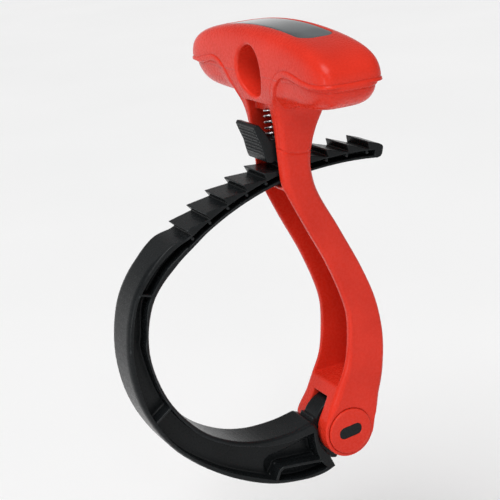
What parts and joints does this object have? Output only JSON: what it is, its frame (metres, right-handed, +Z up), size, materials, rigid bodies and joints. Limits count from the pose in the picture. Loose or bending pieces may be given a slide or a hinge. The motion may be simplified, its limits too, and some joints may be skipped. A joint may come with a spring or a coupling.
{
  "type": "ratcheting cable clamp",
  "caption": "Hand-held ratcheting clamp: toothed curved strap hinged to an arm closes a loop under a T-grip with thumb release",
  "frame": {"origin": "centre of the hang hole through the T-grip, half way along the hole", "axes": "+X along the hang hole, from the strap's loop side towards its tail; +Y along the T-grip and the hinge pin; +Z up, from the hinge to the grip"},
  "size_m": [0.1518, 0.148, 0.2434],
  "materials": {
    "red_plastic": "semi-gloss moulded plastic with a fine spark-eroded texture",
    "black_plastic": "satin moulded glass-filled nylon",
    "label_gloss": "glossy domed plate, plain",
    "steel": "bright zinc-plated wire and pins"
  },
  "bodies": {
    "frame": {"frame_body": "red_plastic", "grip_cover": "red_plastic", "label_plate": "label_gloss", "hinge_pin": "steel", "hinge_cap_front": "red_plastic", "hinge_cap_rear": "red_plastic", "badge_inlay": "black_plastic", "lever_pin": "steel", "lever_spring": "steel"},
    "strap": {"ratchet_strap": "black_plastic"},
    "lever": {"release_lever": "black_plastic"}
  },
  "joints": [
    {"name": "strap_hinge", "type": "hinge", "parent": "frame", "child": "strap", "pos_m": [0.015, 0, -0.198], "axis": [0, 1, 0], "range_deg": [-92, 18.4]},
    {"name": "release_lever", "type": "hinge", "parent": "frame", "child": "lever", "pos_m": [0.001, 0, -0.039], "axis": [0, 1, 0], "range_deg": [-15, 10], "stiffness_Nm_per_rad": 0.04, "deforming": ["lever_spring"]}
  ]
}
